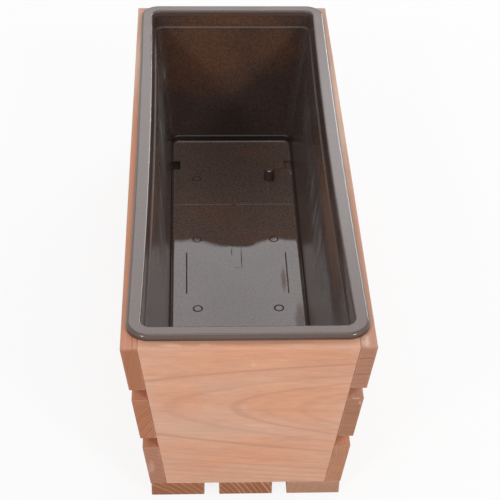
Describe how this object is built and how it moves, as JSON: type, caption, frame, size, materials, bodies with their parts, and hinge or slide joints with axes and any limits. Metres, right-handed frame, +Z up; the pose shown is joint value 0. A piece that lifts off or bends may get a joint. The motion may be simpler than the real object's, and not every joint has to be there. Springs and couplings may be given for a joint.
{
  "type": "trough planter",
  "caption": "Tapered slatted wooden trough planter with trapezoid end panels, spaced base boards and a lift-out moulded liner with a turned-down rim and a drain plug.",
  "frame": {"origin": "middle of the underside of the base, on the surface that the planter stands on", "axes": "+Z up, +Y along the trough from the end panel nearest the camera to the far one, +X to the right seen from the near end"},
  "size_m": [0.2248, 0.6, 0.1945],
  "materials": {
    "panel_wood": "planed, clear oiled, satin",
    "slat_wood": "planed, clear oiled, satin",
    "base_wood": "planed, clear oiled, satin",
    "liner_plastic": "glossy moulded dark brown",
    "plug_plastic": "glossy moulded near black",
    "screw_steel": "bright zinc"
  },
  "bodies": {
    "box": {"end_panel_front": "panel_wood", "end_panel_back": "panel_wood", "left_slat_top": "slat_wood", "left_slat_middle": "slat_wood", "left_slat_bottom": "slat_wood", "right_slat_top": "slat_wood", "right_slat_middle": "slat_wood", "right_slat_bottom": "slat_wood", "base_board_left": "base_wood", "base_board_centre": "base_wood", "base_board_right": "base_wood", "left_side_screws": "screw_steel", "right_side_screws": "screw_steel", "base_screws": "screw_steel"},
    "liner": {"liner": "liner_plastic"},
    "plug": {"drain_plug": "plug_plastic"}
  },
  "joints": [
    {"name": "liner_lift", "type": "slide", "parent": "box", "child": "liner", "axis": [0, 0, 1], "range_m": [0, 0.19]},
    {"name": "plug_pull", "type": "slide", "parent": "liner", "child": "plug", "axis": [0, 0, 1], "range_m": [0, 0.03]}
  ]
}
